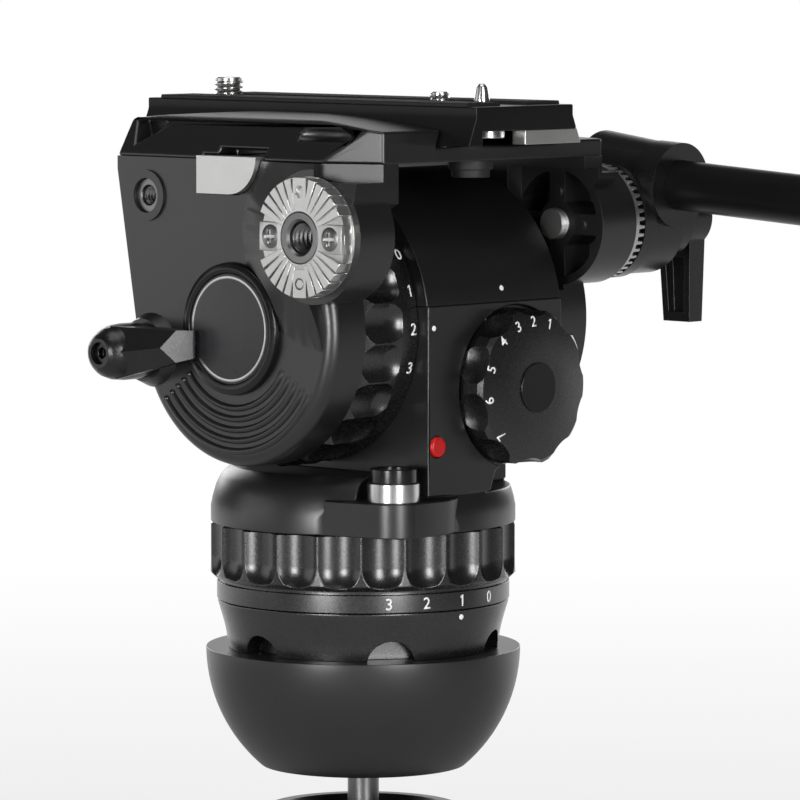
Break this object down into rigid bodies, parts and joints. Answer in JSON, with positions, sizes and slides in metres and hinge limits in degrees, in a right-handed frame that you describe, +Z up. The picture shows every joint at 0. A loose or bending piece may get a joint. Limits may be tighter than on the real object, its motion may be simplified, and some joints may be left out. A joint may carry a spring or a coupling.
{
  "type": "fluid video head",
  "caption": "Fluid video head: half ball foot, pan and tilt drag rings, stepped counterbalance knob, sliding camera plate, rosettes and an angled pan bar.",
  "frame": {"origin": "centre of the half ball, on the pan axis, in the plane of the levelling bowl rim", "axes": "+X to the operator's right, +Y forward along the lens, +Z up"},
  "size_m": [0.1927, 0.4787, 0.2794],
  "materials": {
    "cast_black": "satin black powder coat on die cast aluminium",
    "ring_black": "satin black paint on turned aluminium",
    "bare_aluminium": "bare machined aluminium",
    "steel": "machined steel",
    "bright_steel": "nickel plated steel",
    "rubber": "black rubber",
    "lever_black": "black moulded plastic",
    "vial": "clear vial with pale green fluid",
    "gloss_black": "gloss black plastic",
    "badge": "blank black badge",
    "red_button": "red plastic",
    "brushed_button": "brushed aluminium",
    "plate_black": "black anodised aluminium"
  },
  "bodies": {
    "base": {"half_ball": "cast_black", "base_ring": "ring_black", "base_screws": "steel", "pan_spindle": "steel", "spindle_nut": "steel", "tie_down_stud": "steel"},
    "bowl_cup": {"tie_down_cup": "cast_black"},
    "tie_knob": {"tie_down_knob": "lever_black"},
    "pan_ring": {"pan_drag_ring": "ring_black"},
    "pan": {"pan_body": "cast_black", "barrel_cover": "cast_black", "pan_bearings": "steel", "pan_drag_cartridge": "bare_aluminium", "bubble_holder": "bright_steel", "bubble_vial": "vial", "bubble_cap": "gloss_black", "tilt_bearings": "steel", "tilt_drag_cartridge": "bare_aluminium", "spring_pack": "steel", "battery_cover": "lever_black"},
    "tilt_ring": {"tilt_drag_ring": "ring_black"},
    "balance_knob": {"counterbalance_knob": "ring_black", "counterbalance_cap": "gloss_black", "counterbalance_shaft": "steel"},
    "light": {"light_button": "red_button"},
    "pan_brake": {"pan_brake_lever": "lever_black", "pan_brake_screw": "steel"},
    "tilt": {"platform": "cast_black", "left_cheek": "cast_black", "right_cheek": "cast_black", "tilt_axle": "steel", "badge_bezel": "gloss_black", "badge_disc": "badge", "right_cover": "gloss_black", "left_rosette": "bare_aluminium", "left_rosette_screws": "bright_steel", "right_rosette": "bare_aluminium", "accessory_insert": "steel", "platform_bumper": "rubber"},
    "tilt_brake": {"tilt_brake_lever": "lever_black", "tilt_brake_screw": "steel"},
    "release": {"release_button": "brushed_button"},
    "plate_clamp": {"clamp_lever": "lever_black", "clamp_lever_screw": "steel"},
    "jaw": {"clamp_jaw": "bare_aluminium"},
    "plate": {"camera_plate": "plate_black", "plate_pads": "rubber", "plate_stop": "bare_aluminium", "plate_screw": "bright_steel"},
    "big_screw": {"large_screw": "bright_steel"},
    "little_screw": {"small_screw": "bright_steel"},
    "pin": {"video_pin": "bright_steel"},
    "handle": {"bar_clamp": "lever_black", "pan_bar_tube": "plate_black", "bar_grip": "rubber", "bar_end_cap": "lever_black"},
    "bar_lock": {"bar_lever": "lever_black", "bar_bolt": "bright_steel"}
  },
  "joints": [
    {"name": "pan_turn", "type": "hinge", "parent": "base", "child": "pan", "pos_m": [0, 0, 0], "axis": [0, 0, 1], "continuous": true},
    {"name": "pan_drag_set", "type": "hinge", "parent": "base", "child": "pan_ring", "pos_m": [0, 0, 0], "axis": [0, 0, 1], "range_deg": [-16.5, 33]},
    {"name": "cup_travel", "type": "slide", "parent": "base", "child": "bowl_cup", "axis": [0, 0, 1], "range_m": [-0.0045, 0]},
    {"name": "tie_spin", "type": "hinge", "parent": "bowl_cup", "child": "tie_knob", "pos_m": [0, 0, 0], "axis": [0, 0, 1], "range_deg": [-1085, 0]},
    {"name": "tilt_turn", "type": "hinge", "parent": "pan", "child": "tilt", "pos_m": [0, 0, 0.1038], "axis": [1, 0, 0], "range_deg": [-90, 55]},
    {"name": "tilt_drag_set", "type": "hinge", "parent": "pan", "child": "tilt_ring", "pos_m": [0, 0, 0.1038], "axis": [1, 0, 0], "range_deg": [-16.5, 33]},
    {"name": "balance_set", "type": "hinge", "parent": "pan", "child": "balance_knob", "pos_m": [0.0195, -0.045, 0.0842], "axis": [0, 1, 0], "range_deg": [-22.5, 112.5]},
    {"name": "light_press", "type": "slide", "parent": "pan", "child": "light", "axis": [0, 1, 0], "range_m": [0, 0.0012], "stiffness_N_per_m": 400},
    {"name": "pan_brake_turn", "type": "hinge", "parent": "pan", "child": "pan_brake", "pos_m": [0.049, 0.014, 0.0475], "axis": [1, 0, 0], "range_deg": [-30, 0]},
    {"name": "tilt_brake_turn", "type": "hinge", "parent": "tilt", "child": "tilt_brake", "pos_m": [-0.07, 0.0365, 0.0955], "axis": [1, 0, 0], "range_deg": [-35, 20]},
    {"name": "release_press", "type": "slide", "parent": "tilt", "child": "release", "axis": [1, 0, 0], "range_m": [0, 0.003], "stiffness_N_per_m": 500},
    {"name": "clamp_turn", "type": "hinge", "parent": "tilt", "child": "plate_clamp", "pos_m": [0.06, 0.015, 0.146], "axis": [1, 0, 0], "range_deg": [-60.5, 0]},
    {"name": "jaw_slide", "type": "slide", "parent": "tilt", "child": "jaw", "axis": [1, 0, 0], "range_m": [0, 0.0012]},
    {"name": "plate_slide", "type": "slide", "parent": "tilt", "child": "plate", "axis": [0, 1, 0], "range_m": [-0.03, 0.02]},
    {"name": "large_turn", "type": "hinge", "parent": "plate", "child": "big_screw", "pos_m": [0, 0.0605, 0.173], "axis": [0, 0, 1], "continuous": true},
    {"name": "small_turn", "type": "hinge", "parent": "plate", "child": "little_screw", "pos_m": [0, -0.0335, 0.173], "axis": [0, 0, 1], "continuous": true},
    {"name": "pin_press", "type": "slide", "parent": "plate", "child": "pin", "axis": [0, 0, -1], "range_m": [0, 0.0034], "stiffness_N_per_m": 400},
    {"name": "bar_angle", "type": "hinge", "parent": "tilt", "child": "handle", "pos_m": [0.075, -0.03935, 0.1339], "axis": [1, 0, 0], "range_deg": [-60, 60]},
    {"name": "bar_lock_turn", "type": "hinge", "parent": "handle", "child": "bar_lock", "pos_m": [0.1, -0.03935, 0.1339], "axis": [1, 0, 0], "range_deg": [-60, 60]}
  ],
  "couplings": [
    {"joint": "tie_spin", "follows": "cup_travel", "rad_per_m": 4188.8},
    {"joint": "clamp_turn", "follows": "jaw_slide", "rad_per_m": -872.66}
  ]
}
